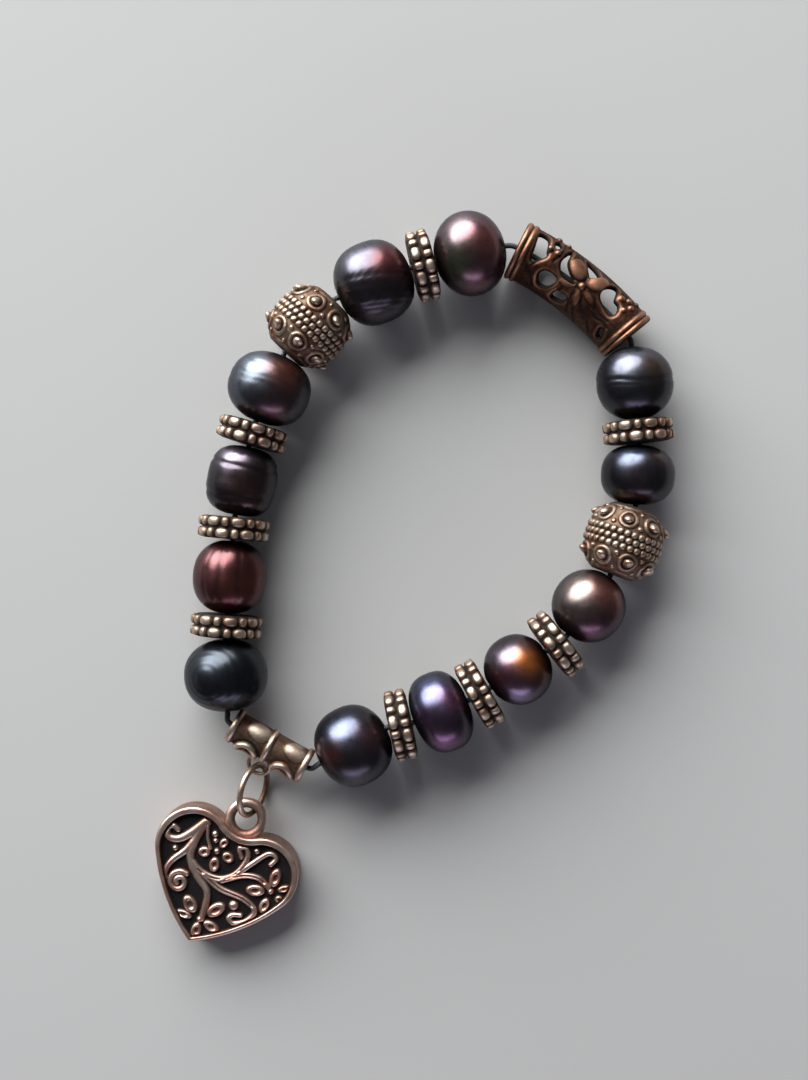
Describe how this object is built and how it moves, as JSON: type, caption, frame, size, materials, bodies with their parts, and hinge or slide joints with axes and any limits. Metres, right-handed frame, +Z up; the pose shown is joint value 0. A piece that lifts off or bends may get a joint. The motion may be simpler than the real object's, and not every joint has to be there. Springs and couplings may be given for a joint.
{
  "type": "pearl bracelet",
  "caption": "Stretch bracelet of dark pearls, granulated metal spacers, carved beads and a pierced tube, with a heart charm on a jump ring.",
  "frame": {"origin": "bottom centre of the whole bracelet's box as it lies flat", "axes": "+Z up from the surface it lies on, +Y from the heart charm towards the pierced tube's end of the loop, the longest way of the whole"},
  "size_m": [0.0666, 0.0934, 0.0109],
  "materials": {
    "pearl_blue_black": "gloss",
    "pearl_rose": "gloss",
    "pearl_violet": "gloss",
    "pearl_burgundy": "gloss",
    "pearl_grey_green": "gloss",
    "antiqued_silver": "satin",
    "antiqued_copper": "satin",
    "elastic": "matte"
  },
  "bodies": {
    "root": {"pearl_01": "pearl_blue_black", "pearl_02": "pearl_blue_black", "pearl_03": "pearl_rose", "pearl_04": "pearl_rose", "pearl_05": "pearl_violet", "pearl_06": "pearl_blue_black", "pearl_07": "pearl_blue_black", "pearl_08": "pearl_burgundy", "pearl_09": "pearl_violet", "pearl_10": "pearl_grey_green", "pearl_11": "pearl_violet", "pearl_12": "pearl_burgundy", "spacer_01": "antiqued_silver", "spacer_02": "antiqued_silver", "spacer_03": "antiqued_silver", "spacer_04": "antiqued_silver", "spacer_05": "antiqued_silver", "spacer_06": "antiqued_silver", "spacer_07": "antiqued_silver", "spacer_08": "antiqued_silver", "carved_bead_1": "antiqued_silver", "carved_bead_2": "antiqued_silver", "filigree_tube": "antiqued_copper", "charm_bail": "antiqued_silver", "jump_ring": "antiqued_silver", "heart_charm": "antiqued_silver", "elastic_thread": "elastic"}
  },
  "joints": []
}
